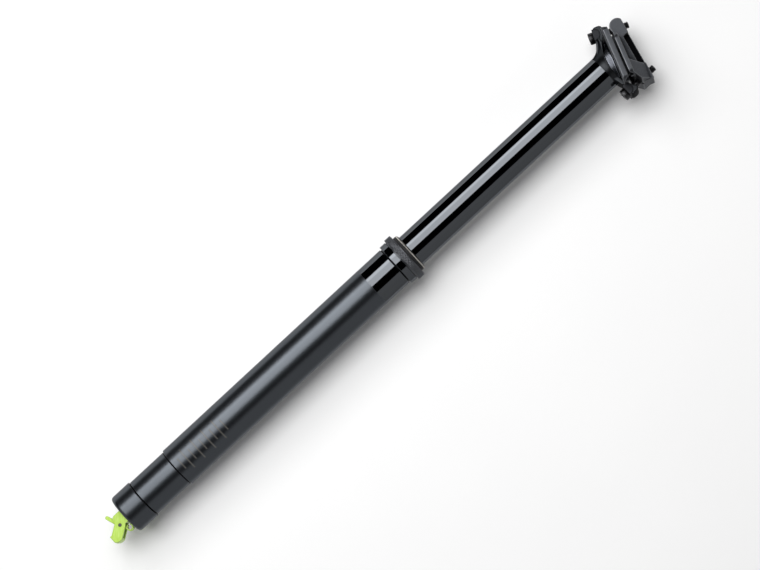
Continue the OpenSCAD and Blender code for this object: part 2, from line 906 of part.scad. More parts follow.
module upper_clamp() {
    color("#3a3b3e")
        on_rails()
            difference() {
                union() {
                    intersection() {
                        along_rails(2 * lower_len) upper_section();
                        linear_extrude(2 * cradle_drop)
                            translate([upper_shift, 0]) round_rect(upper_len, 2 * wing_out, 4.5);
                    }
                    across(lobe_w) upper_side();
                    front_flank();
                    keel();
                }
                spine_pockets();
                nut_pocket(front_nut);
                nut_pocket(rear_nut);
                bolt_slot(front_nut, front_lean);
                bolt_slot(rear_nut, rear_lean);
            }
}

// Socket-head screw, head down
module clamp_bolt() {
    socket_af = 4;
    socket_depth = 2.4;
    translate([0, 0, -washer_flat]) cylinder(d = bolt_d, h = bolt_len);
    difference() {
        translate([0, 0, -washer_flat - bolt_head_len]) cylinder(d = bolt_head_d, h = bolt_head_len);
        translate([0, 0, -washer_flat - bolt_head_len - cut])
            cylinder(d = socket_af / cos(30), h = socket_depth + cut, $fn = 6);
    }
}

module half_washer() {
    difference() {
        cross_bar([0, 0], 2 * washer_r, ear_w);
        translate([-ear_w, -ear_w, -2 * ear_w - washer_flat]) cube(2 * ear_w);
        translate([0, 0, -ear_w]) cylinder(d = bolt_d, h = 2 * ear_w);
    }
}

module front_bolt() {
    color("#2a2a2c") on_front_bolt() clamp_bolt();
}

module rear_bolt() {
    color("#2a2a2c") on_rear_bolt() clamp_bolt();
}

module front_washer() {
    color("#47484b") on_front_bolt() half_washer();
}

module rear_washer() {
    color("#47484b") on_rear_bolt() half_washer();
}

// Cross-drilled barrel nut
module barrel_nut(at, turn) {
    difference() {
        cross_bar(at, nut_d, nut_w);
        translate([at.x, 0, at.y])
            rotate([0, turn, 0]) cylinder(d = bolt_d + 2 * thread_clear, h = 4 * nut_d, center = true);
    }
}

module front_barrel_nut() {
    color("#5a5b5e") barrel_nut(front_end, front_lean);
}

module rear_barrel_nut() {
    color("#5a5b5e") barrel_nut(rear_end, rear_lean);
}

outer_tube();
collar();
collar_oring();
wiper_seal();
wiper_spring();
upper_bushing();
top_bumper();
bottom_cap();
cap_oring();
bottom_bumper();
cartridge_rod();
main_piston();
piston_seal();
actuator_bracket();
pivot_pin();
stanchion();
lower_bushing();
guide_keys();
cartridge_body();
inner_tube();
rod_guide();
rod_seal();
guide_oring();
cartridge_head();
valve_core();
valve_cap();
cartridge_nut();
floating_piston();
floating_seals();
lower_clamp();
upper_clamp();
front_bolt();
front_washer();
rear_bolt();
rear_washer();
front_barrel_nut();
rear_barrel_nut();
release_lever();
release_pin();
valve_poppet();
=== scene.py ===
"""Height-adjustable bicycle seatpost: finished surfaces, materials, light and view on the packed solids."""

import json
import math

import bmesh
import bpy
import numpy as np
from bpy.props import FloatProperty, FloatVectorProperty, IntProperty, PointerProperty
from mathutils import Matrix, Vector


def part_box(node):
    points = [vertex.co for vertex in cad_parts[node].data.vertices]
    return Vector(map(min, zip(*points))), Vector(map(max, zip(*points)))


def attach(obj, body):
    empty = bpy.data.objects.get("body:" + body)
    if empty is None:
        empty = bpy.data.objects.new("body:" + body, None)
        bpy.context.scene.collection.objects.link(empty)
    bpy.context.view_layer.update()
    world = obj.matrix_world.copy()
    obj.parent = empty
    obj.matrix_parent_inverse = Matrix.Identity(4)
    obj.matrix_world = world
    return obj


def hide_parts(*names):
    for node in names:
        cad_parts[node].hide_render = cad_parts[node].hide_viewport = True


bl_info = {
    "name": "Dropper Seatpost",
    "version": (1, 0, 0),
    "blender": (4, 5, 0),
    "location": "3D View > Sidebar > Seatpost",
    "description": "Dresses the solids of a height-adjustable bicycle seatpost in finished surfaces",
    "category": "Add Mesh",
}

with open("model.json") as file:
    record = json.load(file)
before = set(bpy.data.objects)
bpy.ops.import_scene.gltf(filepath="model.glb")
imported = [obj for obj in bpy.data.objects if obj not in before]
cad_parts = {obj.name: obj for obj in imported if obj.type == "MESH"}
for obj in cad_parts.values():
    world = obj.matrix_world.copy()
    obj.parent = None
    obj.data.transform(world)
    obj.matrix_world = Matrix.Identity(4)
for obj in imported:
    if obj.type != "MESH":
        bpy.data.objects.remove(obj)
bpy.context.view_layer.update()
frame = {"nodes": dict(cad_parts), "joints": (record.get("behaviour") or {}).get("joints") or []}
MM = 0.001
PIVOT = {j["name"]: np.array(j["pos_m"]) / MM for j in frame["joints"] if "pos_m" in j}


def linear(code):
    """An sRGB hex colour as linear light: c / 12.92 up to 0.04045, ((c + 0.055) / 1.055) ** 2.4 above."""
    c = np.array([int(code[i:i + 2], 16) for i in (1, 3, 5)]) / 255
    return tuple(np.where(c <= 0.04045, c / 12.92, ((c + 0.055) / 1.055) ** 2.4).tolist())


def low(node):
    """Lowest corner of a node's box in millimetres."""
    return np.array(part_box(node)[0]) / MM


def high(node):
    """Highest corner of a node's box in millimetres."""
    return np.array(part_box(node)[1]) / MM


# Sizes that the solids share, in millimetres.
TUBE_R = high("outer_tube")[0]
BORE_R = high("upper_bushing")[0]
SPIGOT_R = TUBE_R - 0.75
NECK_R = TUBE_R - 0.85
NECK_TOP = -207.7
SEAM_W = 0.9
SEAM_DEEP = 0.4
STANCHION_R = 12.7
STANCHION_BORE = 11.2
HEAD_LINE = 200.2
# Middle of the saddle rails over the origin, and their tilt.
RAIL_Z = 215.6
RAIL_TILT = math.radians(20)
# Cradle under the clamp's wings: radius and half width of its rounded sides, how far they run to front and rear, their
# top against the rails, the height over which they fade out, and how far out the wings begin.
CRADLE_CURVE = 20.0
CRADLE_HALF = 13.2
CRADLE_END = 15
CRADLE_TOP = -5.3
CRADLE_FADE = 0.6
WING_FROM = 13.5
# Milled pockets of the upper clamp half, where shade is painted: from the spine out to the lobes' sides, from rear to
# front along the rails, and from their floor up to a sloping rim, under which the painted shade fades in.
POCKET_IN, POCKET_OUT = 1.75, 8.85
POCKET_REAR, POCKET_FRONT = -13.9, 12.9
POCKET_FLOOR = 3.5
RIM_HEIGHT, RIM_SLOPE, RIM_DROP, RIM_FADE = 13.5, 0.103, 0.2, 0.4

# Etched insertion scale: middle and half height of its rows in metres, half a mark's thickness as a share of a step,
# and how many radians a mark reaches to each side, with what a long one has more.
SCALE_MID, SCALE_HALF = -0.1825, 0.0225
MARK_HALF, MARK_REACH, LONG_EXTRA = 0.07, 0.3, 0.26

# Stage, in metres and radians: the camera's turn, the middle of the picture up the post and to its left, the floor
# behind the axis, reach and length of the cards, and the low cards' places to the left of the axis, their middle
# towards the camera, their height, and the right one's glow as a share of the room's.
PHOTO_TURN = math.radians(12)
AIM_UP, AIM_LEFT = -0.0165, -0.0026
FLOOR_BACK = 0.0305
CARD_REACH, CARD_LEN = 1.2, 2.4
LOW_LEFT, LOW_RIGHT = 0.2, -0.058
LOW_MID, LOW_HEIGHT, LOW_GLOW = 0.005, 0.07, 0.95


class TubeSizes(bpy.types.PropertyGroup):
    """Outer tube and stanchion"""

    gloss_band: FloatProperty(
        name="Gloss band", description="Height of the polished band at the top of the outer tube",
        default=0.0214, unit="LENGTH")
    satin: FloatVectorProperty(
        name="Satin black", description="Colour of the blasted outer tube", subtype="COLOR", size=3,
        default=linear("#5b5f64"))
    gloss: FloatVectorProperty(
        name="Gloss black", description="Colour of the polished stanchion", subtype="COLOR", size=3,
        default=linear("#606367"))
    scale_step: FloatProperty(
        name="Scale step", description="Distance between two etched insertion marks", default=0.005, unit="LENGTH")


class CollarSizes(bpy.types.PropertyGroup):
    """Collar and wiper"""

    knurls: IntProperty(name="Knurls", description="Ridges of the knurl round the flange", default=72)
    knurl_depth: FloatProperty(
        name="Knurl depth", description="Depth of the knurl", default=0.00034, unit="LENGTH")
    coils: IntProperty(name="Coils", description="Coils of the spring round the wiper", default=260)


class ClampSizes(bpy.types.PropertyGroup):
    """Saddle clamp and bolts"""

    grey: FloatVectorProperty(
        name="Blasted grey", description="Colour of the two clamp halves", subtype="COLOR", size=3,
        default=linear("#505256"))
    voxel: FloatProperty(
        name="Edge grid", description="Grid on which the forged edges are softened", default=0.0003, unit="LENGTH")
    pitch: FloatProperty(name="Pitch", description="Pitch of the bolts' thread", default=0.0008, unit="LENGTH")


class ReleaseSizes(bpy.types.PropertyGroup):
    """Release lever and its bracket"""

    lime: FloatVectorProperty(
        name="Lime", description="Colour of the anodised release parts", subtype="COLOR", size=3,
        default=linear("#a4c54a"))
    voxel: FloatProperty(
        name="Edge grid", description="Grid on which the edges are softened", default=0.00014, unit="LENGTH")


class StageSizes(bpy.types.PropertyGroup):
    """Camera, floor and light"""

    distance: FloatProperty(
        name="Camera distance", description="Distance of the camera from the post", default=2.0, unit="LENGTH")
    turn: FloatProperty(
        name="Camera turn", description="Turn of the camera round the post", default=PHOTO_TURN,
        subtype="ANGLE")
    lean: FloatProperty(
        name="Post lean", description="Angle of the post in the picture", default=math.radians(42.77),
        subtype="ANGLE")
    softbox: FloatProperty(name="Softbox", description="Brightness of the long softbox", default=2.4)
    rim: FloatProperty(name="Rim strip", description="Brightness of the strip beside the softbox", default=3.45)
    fill: FloatProperty(name="Fill", description="Brightness of the lamp that lights the floor", default=6.8)
    room: FloatProperty(name="Room", description="Brightness of the room", default=0.4)


def pieces_collection():
    """The scene's own collection, which every piece joins."""
    return bpy.context.scene.collection


def fillet(corners, radii, steps=4):
    """Rounds the corners of a closed outline: corner P becomes (1-s)^2 A + 2s(1-s) P + s^2 B for s from 0 to 1,
    where A and B lie the corner's radius away on its two edges, and at most 0.45 of the edge."""
    p = np.asarray(corners, float)
    back, on = np.roll(p, 1, 0) - p, np.roll(p, -1, 0) - p
    back_len, on_len = np.linalg.norm(back, axis=1), np.linalg.norm(on, axis=1)
    r = np.broadcast_to(np.asarray(radii, float), len(p))
    a = p + back * (np.minimum(r, 0.45 * back_len) / back_len)[:, None]
    b = p + on * (np.minimum(r, 0.45 * on_len) / on_len)[:, None]
    s = np.linspace(0, 1, steps + 1)[None, :, None]
    return ((1 - s) ** 2 * a[:, None] + 2 * s * (1 - s) * p[:, None] + s ** 2 * b[:, None]).reshape(-1, 2)


def revolve(outline, turns):
    """Outline (r, z) carried round the post's axis: (r cos a, r sin a, z) for a from 0 to 2 pi."""
    a = np.linspace(0, 2 * np.pi, turns, endpoint=False)
    r, z = outline[:, :1], outline[:, 1:]
    return np.stack([r * np.cos(a), r * np.sin(a), z + 0 * a], -1)


def place(grid, origin, along):
    """Turns a grid drawn along Z so that Z runs along a direction in the XZ plane, and moves it to an origin:
    x goes to (d_z, 0, -d_x), y stays and z goes to d."""
    d = along / np.linalg.norm(along)
    turned = np.array([[d[2], 0, -d[0]], [0, 1, 0], [d[0], 0, d[2]]])
    return grid @ turned + origin


def quads_of(rows, cols, wrap_rows, wrap_cols):
    """Corner numbers of the faces of a grid, row by row, joined at the ends where it wraps."""
    i, j = np.meshgrid(np.arange(rows - (not wrap_rows)), np.arange(cols - (not wrap_cols)), indexing="ij")
    n, m = (i + 1) % rows, (j + 1) % cols
    return np.stack([i * cols + j, n * cols + j, n * cols + m, i * cols + m], -1).reshape(-1, 4)


def weld(mesh, gap):
    """Joins points that lie closer than a gap and drops the faces that have no area left."""
    shape = bmesh.new()
    shape.from_mesh(mesh)
    bmesh.ops.remove_doubles(shape, verts=shape.verts, dist=gap)
    bmesh.ops.dissolve_degenerate(shape, edges=shape.edges, dist=gap)
    shape.to_mesh(mesh)
    shape.free()


def piece_from_grid(name, grid, finishes, wrap=(True, True), finish_of=None):
    """Mesh object of a grid of points in millimetres, with its faces outwards: the faces are turned round if the
    sum of their signed pyramids to the origin is negative. finish_of gives each row of faces its material."""
    rows, cols = grid.shape[:2]
    points = grid.reshape(-1, 3)
    quads = quads_of(rows, cols, *wrap)
    a, b, c, d = (points[quads[:, k]] for k in range(4))
    if (np.cross(b - a, c - a) * a).sum() + (np.cross(c - a, d - a) * a).sum() < 0:
        quads = quads[:, ::-1]
    mesh = bpy.data.meshes.new(name)
    mesh.from_pydata((points * MM).tolist(), [], quads.tolist())
    for finish in finishes:
        mesh.materials.append(finish)
    if finish_of is not None:
        mesh.polygons.foreach_set("material_index", np.repeat(np.asarray(finish_of, np.int32), cols)[:len(quads)])
    weld(mesh, 1e-7)
    mesh.shade_smooth()
    piece = bpy.data.objects.new(name, mesh)
    pieces_collection().objects.link(piece)
    even = piece.modifiers.new("Even normals", "WEIGHTED_NORMAL")
    even.weight = 100
    return piece


def softened(node, name, voxel, passes, finish, cut_z=None, turn=0.0):
    """A node's own solid with its sharp edges turned into small radii: the mesh is copied, welded, rebuilt on a
    grid of voxels and relaxed, each pass moving every point half way to the mean of its neighbours. cut_z keeps
    only what lies above that height; turn leans the grid about Y so that its rows run along the flat faces."""
    shape = bmesh.new()
    shape.from_mesh(frame["nodes"][node].data)
    bmesh.ops.remove_doubles(shape, verts=shape.verts, dist=1e-6)
    if cut_z is not None:
        found = bmesh.ops.bisect_plane(
            shape, geom=shape.verts[:] + shape.edges[:] + shape.faces[:], plane_co=(0, 0, cut_z * MM),
            plane_no=(0, 0, 1), clear_inner=True)
        rim = [e for e in found["geom_cut"] if isinstance(e, bmesh.types.BMEdge)]
        bmesh.ops.triangle_fill(shape, edges=rim, use_beauty=True)
    mesh = bpy.data.meshes.new(name)
    shape.to_mesh(mesh)
    shape.free()
    mesh.transform(Matrix.Rotation(-turn, 4, "Y"))
    piece = bpy.data.objects.new(name, mesh)
    pieces_collection().objects.link(piece)
    grid = piece.modifiers.new("Grid", "REMESH")
    grid.mode = "VOXEL"
    grid.voxel_size = voxel
    relax = piece.modifiers.new("Relax", "SMOOTH")
    relax.factor = 0.5
    relax.iterations = passes
    bpy.context.view_layer.update()
    done = bpy.data.meshes.new_from_object(piece.evaluated_get(bpy.context.evaluated_depsgraph_get()))
    piece.modifiers.clear()
    piece.data = done
    done.transform(Matrix.Rotation(turn, 4, "Y"))
    done.name = name
    done.materials.clear()
    done.materials.append(finish)
    done.shade_smooth()
    return piece


def points_of(mesh):
    """A mesh's points in metres, one to a row."""
    points = np.empty(3 * len(mesh.vertices))
    mesh.vertices.foreach_get("co", points)
    return points.reshape(-1, 3)


def rail_frame(mesh):
    """A mesh's points in millimetres, with u along the saddle rails and v square to them:
    u = x cos t - (z - z0) sin t and v = x sin t + (z - z0) cos t."""
    points = points_of(mesh) / MM
    x, z = points[:, 0], points[:, 2] - RAIL_Z
    c, s = math.cos(RAIL_TILT), math.sin(RAIL_TILT)
    return points, x * c - z * s, x * s + z * c


def join(piece, body, slot, *nodes):
    """A piece moves with a body and stands for the nodes given, which are hidden. slot is not used."""
    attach(piece, body)
    if nodes:
        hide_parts(*nodes)


def node(tree, kind, sockets=None, **settings):
    """Adds a node with its settings; sockets gives each input a value or another node's output."""
    made = tree.nodes.new(kind)
    for key, value in settings.items():
        setattr(made, key, value)
    for key, value in (sockets or {}).items():
        if isinstance(value, bpy.types.NodeSocket):
            tree.links.new(value, made.inputs[key])
        else:
            made.inputs[key].default_value = value
    return made


def calc(tree, operation, *values):
    """Output of a Math node on up to three values."""
    return node(tree, "ShaderNodeMath", dict(enumerate(values)), operation=operation).outputs[0]


def blend(tree, share, first, second):
    """Colour between two others: (1 - share) first + share second."""
    return node(tree, "ShaderNodeMix", {0: share, 6: first, 7: second}, data_type="RGBA").outputs[2]


def ramp(tree, value, start, stop, first, last):
    """Runs evenly from first to last while a value goes from start to stop, and no further."""
    return node(tree, "ShaderNodeMapRange", {
        "Value": value, "From Min": start, "From Max": stop, "To Min": first, "To Max": last}).outputs["Result"]


def opaque(code):
    """A hex colour for a colour socket: its linear light with an alpha of 1."""
    return linear(code) + (1,)


def per_mm(size):
    """Scale of a texture on Object coordinates whose features are that many millimetres wide."""
    return 1 / (size * MM)


def new_material(name):
    """Empty material with its tree, Object coordinates and shader, joined to the output."""
    made = bpy.data.materials.new(name)
    made.use_nodes = True
    tree = made.node_tree
    tree.nodes.clear()
    coords = node(tree, "ShaderNodeTexCoord").outputs["Object"]
    shader = node(tree, "ShaderNodeBsdfPrincipled")
    node(tree, "ShaderNodeOutputMaterial", {"Surface": shader.outputs["BSDF"]})
    return made, tree, coords, shader


def grained(name, colour, metal, rough, grit, depth, blotch=24.0, vary=0.12, stretch=(1, 1, 1), edge=1.0):
    """A finish with fine grain: grit is the width of a grain and depth its height in millimetres, rough the
    lowest and highest roughness, vary how much the colour drifts over blotches of the given width, and edge how
    much of the metal's grazing reflection is left by a dark oxide. Grains and tool lines that are finer on the real
    piece are drawn 0.3 to 0.7 mm wide so that they show."""
    made, tree, coords, shader = new_material(name)
    mapped = node(tree, "ShaderNodeMapping", {"Vector": coords, "Scale": stretch}).outputs["Vector"]
    grain = node(tree, "ShaderNodeTexNoise", {"Vector": mapped, "Scale": per_mm(grit), "Detail": 3.0})
    cloud = node(tree, "ShaderNodeTexNoise", {"Vector": coords, "Scale": per_mm(blotch), "Detail": 4.0})
    dark = tuple(c * (1 - vary) for c in colour) + (1,)
    pale = tuple(min(1, c * (1 + vary)) for c in colour) + (1,)
    tone = blend(tree, cloud.outputs["Fac"], dark, pale)
    gloss = ramp(tree, grain.outputs["Fac"], 0.3, 0.7, *rough)
    bump = node(tree, "ShaderNodeBump", {
        "Height": grain.outputs["Fac"], "Strength": 0.6, "Distance": depth * MM})
    shader.inputs["Metallic"].default_value = metal
    shader.inputs["Specular Tint"].default_value = (edge, edge, edge, 1)
    tree.links.new(tone, shader.inputs["Base Color"])
    tree.links.new(gloss, shader.inputs["Roughness"])
    tree.links.new(bump.outputs["Normal"], shader.inputs["Normal"])
    return made, tree, coords, shader, tone


def satin_tube_finish(sizes):
    """Blasted and hard-anodised aluminium: a broad soft highlight and a dry, fine grain. The insertion scale is
    etched through the black, so its marks are a paler, drier grey."""
    # The blasted grit is near 0.1 mm; it is drawn at 0.5 mm so that it shows.
    made, tree, coords, shader, tone = grained(
        "Blasted black anodised aluminium", sizes.satin, 1.0, (0.29, 0.35), 0.5, 0.006, vary=0.06, edge=0.6)
    # The marks lie on the side that faces the camera; every second one is long.
    face = math.atan2(-math.cos(PHOTO_TURN), math.sin(PHOTO_TURN))
    axes = node(tree, "ShaderNodeSeparateXYZ", {0: coords}).outputs
    away = calc(tree, "SUBTRACT", calc(tree, "ARCTAN2", axes["Y"], axes["X"]), face)
    steps = calc(tree, "DIVIDE", axes["Z"], sizes.scale_step)
    line = calc(tree, "COMPARE", calc(tree, "FRACT", steps), 0.5, MARK_HALF)
    pair = calc(tree, "FRACT", calc(tree, "DIVIDE", steps, 2.0))
    long_one = calc(tree, "COMPARE", pair, 0.25, 0.1)
    reach = calc(tree, "MULTIPLY_ADD", long_one, LONG_EXTRA, MARK_REACH)
    inside = calc(tree, "COMPARE", away, 0.0, reach)
    rows = calc(tree, "COMPARE", axes["Z"], SCALE_MID, SCALE_HALF)
    mark = calc(tree, "MULTIPLY", calc(tree, "MULTIPLY", line, inside), rows)
    tree.links.new(blend(tree, mark, tone, opaque("#62605c")), shader.inputs["Base Color"])
    tree.links.new(calc(tree, "MULTIPLY_ADD", mark, -0.85, 1.0), shader.inputs["Metallic"])
    return made


def seam_shade_finish():
    """Nearly black anodised aluminium in the narrow seams of the tube and on the spigot inside the collar: painted
    shade for the grooves and the joint.
    """
    return grained("Shade-painted black anodised aluminium", linear("#17181a"), 1.0, (0.5, 0.62), 0.6, 0.01)[0]


def gloss_finish(sizes):
    """Polished and hard-anodised aluminium: a black mirror with faint lines of polish round the post."""
    # Polishing lines are a few hundredths of a millimetre apart; they are drawn 0.5 mm apart so that they show.
    return grained("Polished black anodised aluminium", sizes.gloss, 1.0, (0.05, 0.085), 6.0, 0.0008,
                   vary=0.05, stretch=(1, 1, 12), edge=0.5)[0]


def forging_finish(sizes):
    """Blasted black anodised forging: the head is drier than the polished post that it is made in one with."""
    # The blasted grit is near 0.1 mm; it is drawn at 0.7 mm so that it shows.
    return grained("Blasted black anodised forging", tuple(0.3 * c for c in sizes.gloss), 1.0, (0.28, 0.38), 0.7,
                   0.012, blotch=8.0, vary=0.1, edge=0.3)[0]


def cradle_finish():
    """Turned and anodised aluminium on the cradle's sides: darker lines of the tool under a clear, narrow sheen."""
    return grained("Turned black anodised aluminium", linear("#6c6f76"), 1.0, (0.2, 0.28), 0.6, 0.006, edge=0.4)[0]


def knurl_finish():
    """Matte black anodised aluminium on the hand-turned flange: dry, with slightly worn ridges."""
    return grained("Matte black anodised aluminium", linear("#6a6c70"), 1.0, (0.26, 0.36), 0.7, 0.012, edge=0.4)[0]


def clamp_finish(sizes):
    """Bead-blasted dark grey anodised forging: soft sheen and sandy grain, with painted highlight that makes the edges
    paler and painted shade that turns recesses and the milled pockets nearly black."""
    # The beads leave dimples near 0.15 mm; they are drawn at 0.7 mm so that they show.
    made, tree, _, shader, tone = grained(
        "Bead-blasted grey anodised aluminium", sizes.grey, 1.0, (0.34, 0.5), 0.7, 0.045, blotch=9.0, vary=0.12,
        edge=0.6)
    # Painted highlight: faces at convex edges, found by Pointiness, are turned a paler grey.
    edge = node(tree, "ShaderNodeNewGeometry").outputs["Pointiness"]
    edge_highlight = blend(tree, ramp(tree, edge, 0.503, 0.53, 0.0, 0.65), tone, opaque("#9a9ca0"))
    # Painted shade: where ambient occlusion finds faces close by, and where the pocket shade is marked, the colour
    # falls to near black; blasted is the share left unshaded.
    shelter = node(tree, "ShaderNodeAmbientOcclusion", {"Distance": 0.008}, samples=8, only_local=True)
    open_part = ramp(tree, shelter.outputs["AO"], 0.4, 0.92, 0.1, 1.0)
    pocket_shade = node(tree, "ShaderNodeAttribute", attribute_name="pocket_shade").outputs["Fac"]
    blasted = calc(tree, "MULTIPLY", open_part, calc(tree, "MULTIPLY_ADD", pocket_shade, -1.0, 1.0))
    shown = blend(tree, blasted, (0.003, 0.003, 0.0035, 1), edge_highlight)
    tree.links.new(shown, shader.inputs["Base Color"])
    return made


def lime_finish(sizes):
    """Bright lime anodised aluminium: dyed oxide that keeps its colour in the shade, with a satin sheen, pale lines
    left by the rolled plate, and painted shade that turns the edges a deeper green."""
    # Tumbling marks are near 0.1 mm and rolling lines near 0.05 mm; they are drawn at 0.5 and 0.7 mm to show.
    made, tree, coords, shader, tone = grained(
        "Lime anodised aluminium", sizes.lime, 0.35, (0.3, 0.44), 0.5, 0.02, blotch=4.0, vary=0.1)
    rolled = node(tree, "ShaderNodeMapping", {
        "Vector": coords, "Rotation": (0, math.radians(-45), 0), "Scale": (1, 1, 9)}, vector_type="TEXTURE")
    lines = node(tree, "ShaderNodeTexNoise", {
        "Vector": rolled.outputs["Vector"], "Scale": per_mm(0.7), "Detail": 2.0}).outputs["Fac"]
    lined = blend(tree, ramp(tree, lines, 0.42, 0.7, 0.0, 0.4), tone, opaque("#c6dd8c"))
    # Painted shade: convex edges, found by Pointiness, are turned a deeper green.
    edge = node(tree, "ShaderNodeNewGeometry").outputs["Pointiness"]
    edge_shaded = blend(tree, ramp(tree, edge, 0.51, 0.58, 0.0, 0.8), lined, opaque("#4a631a"))
    tree.links.new(edge_shaded, shader.inputs["Base Color"])
    return made


def rubber_finish():
    """Moulded nitrile rubber: nearly black and dull, with a powdery bloom."""
    return grained("Moulded nitrile rubber", linear("#1d1d1e"), 0.0, (0.6, 0.75), 0.6, 0.02)[0]


def black_steel_finish():
    """Black-oxide steel: oily dark grey with bright edges where light catches the turned faces."""
    return grained("Black oxide steel", linear("#4a4a4c"), 1.0, (0.26, 0.38), 0.4, 0.01, vary=0.15)[0]


def nut_finish():
    """Phosphated steel: a dry, deep grey that takes up oil and shows hardly any highlight."""
    return grained("Phosphated steel", linear("#343538"), 1.0, (0.36, 0.5), 0.5, 0.02, blotch=3.0, vary=0.2,
                   edge=0.5)[0]


def bright_steel_finish():
    """Ground steel: pale, with fine lines along the grinding."""
    return grained("Ground steel", linear("#dcdee0"), 1.0, (0.16, 0.28), 0.5, 0.004, stretch=(1, 1, 0.2))[0]


def spring_steel_finish():
    """Tumbled stainless spring wire: pale, with a soft silvery shine that hides its single coils from afar."""
    return grained("Tumbled stainless wire", linear("#f2efe8"), 1.0, (0.42, 0.55), 0.3, 0.003, vary=0.03)[0]


def brass_finish():
    """Turned brass: warm yellow with tool lines."""
    return grained("Turned brass", linear("#c9a24c"), 1.0, (0.2, 0.32), 0.4, 0.006, stretch=(1, 1, 6))[0]


def polymer_finish():
    """Bearing polymer filled with bronze: dull brown, faintly speckled."""
    return grained("Bearing polymer", linear("#6f6040"), 0.0, (0.45, 0.6), 0.5, 0.01, blotch=1.2, vary=0.2)[0]


def turned_aluminium_finish():
    """Bare turned aluminium: pale grey with tool lines round the axis."""
    return grained("Turned aluminium", linear("#b9bbbe"), 1.0, (0.28, 0.4), 0.5, 0.006, stretch=(1, 1, 6))[0]


def finish_for(key):
    """Each finish is made once and kept by its key."""
    if key not in finish_for.made:
        wm = bpy.context.window_manager
        makers = {
            "satin": lambda: satin_tube_finish(wm.seatpost_tubes), "gloss": lambda: gloss_finish(wm.seatpost_tubes),
            "forging": lambda: forging_finish(wm.seatpost_tubes), "clamp": lambda: clamp_finish(wm.seatpost_clamp),
            "lime": lambda: lime_finish(wm.seatpost_release), "seam_shade": seam_shade_finish, "cradle": cradle_finish,
            "knurl": knurl_finish, "rubber": rubber_finish, "black_steel": black_steel_finish, "nut": nut_finish,
            "bright_steel": bright_steel_finish, "spring_steel": spring_steel_finish, "brass": brass_finish,
            "polymer": polymer_finish, "aluminium": turned_aluminium_finish,
        }
        finish_for.made[key] = makers[key]()
    return finish_for.made[key]


finish_for.made = {}


class SEATPOST_OT_tubes(bpy.types.Operator):
    """Outer tube with its gloss band, the bottom cap and the sliding stanchion"""

    bl_idname = "seatpost.tubes"
    bl_label = "Tubes"

    def execute(self, context):
        sizes = context.window_manager.seatpost_tubes
        top, foot = high("outer_tube")[2], low("outer_tube")[2]
        band = -sizes.gloss_band / MM
        outline = fillet([
            (BORE_R, top), (SPIGOT_R, top), (SPIGOT_R, 0), (TUBE_R, 0), (TUBE_R, band), (TUBE_R, NECK_TOP),
            (NECK_R - SEAM_DEEP, NECK_TOP), (NECK_R - SEAM_DEEP, NECK_TOP - SEAM_W), (NECK_R, NECK_TOP - SEAM_W),
            (NECK_R, foot + SEAM_W), (NECK_R - SEAM_DEEP, foot + SEAM_W), (NECK_R - SEAM_DEEP, foot),
            (BORE_R, foot)],
            [0.2, 0.3, 0.1, 0.3, 0.02, 0.3, 0.12, 0.12, 0.12, 0.12, 0.12, 0.12, 0.2])
        r = (outline[:, 0] + np.roll(outline[:, 0], -1)) / 2
        z = (outline[:, 1] + np.roll(outline[:, 1], -1)) / 2
        # The seam rows and the spigot above the tube's top take the near-black seam finish: painted shade in the
        # grooves and the joint.
        kind = np.where(z > band, 1, 0)
        kind[(z > 0.01) | ((r < NECK_R - 0.02) & (z < 0))] = 2
        tube = piece_from_grid("tube_skin", revolve(outline, 256),
                               [finish_for("satin"), finish_for("gloss"), finish_for("seam_shade")], finish_of=kind)
        join(tube, "lower_post", "satin_black_tube", "outer_tube")

        rod_r = high("cartridge_rod")[0]
        cap_top, cap_foot = high("bottom_cap")[2], low("bottom_cap")[2]
        cap = fillet([
            (rod_r, cap_top), (BORE_R - 0.02, cap_top), (BORE_R - 0.02, foot), (TUBE_R, foot), (TUBE_R, cap_foot),
            (rod_r, cap_foot)], [0.2, 0.3, 0.1, 0.4, 2.6, 0.3], steps=8)
        join(piece_from_grid("foot_cap", revolve(cap, 256), [finish_for("satin")]), "lower_post",
             "satin_black_tube", "bottom_cap")

        shaft = fillet([
            (STANCHION_BORE, HEAD_LINE), (STANCHION_R, HEAD_LINE), (STANCHION_R, low("stanchion")[2]),
            (STANCHION_BORE, low("stanchion")[2])], [0.1, 0.12, 0.5, 0.2])
        post = piece_from_grid("stanchion_shaft", revolve(shaft, 256), [finish_for("gloss")])
        join(post, "upper_post", "gloss_black_stanchion", "stanchion")

        head = softened("stanchion", "forged_head", 0.0003, 6, finish_for("forging"), cut_z=HEAD_LINE - 6)
        # Under the line where the shaft begins, the head's skin is drawn in behind the shaft's.
        skin_in, skin_out, tucked = 12.2, 12.9, 12.45
        points = points_of(head.data)
        radius = np.hypot(points[:, 0], points[:, 1])
        below = points[:, 2] < (HEAD_LINE - 0.15) * MM
        hidden = below & (radius > skin_in * MM) & (radius < skin_out * MM)
        points[hidden, :2] *= (tucked * MM / radius[hidden])[:, None]
        head.data.vertices.foreach_set("co", points.ravel())
        join(head, "upper_post", "gloss_black_stanchion")
        return {"FINISHED"}


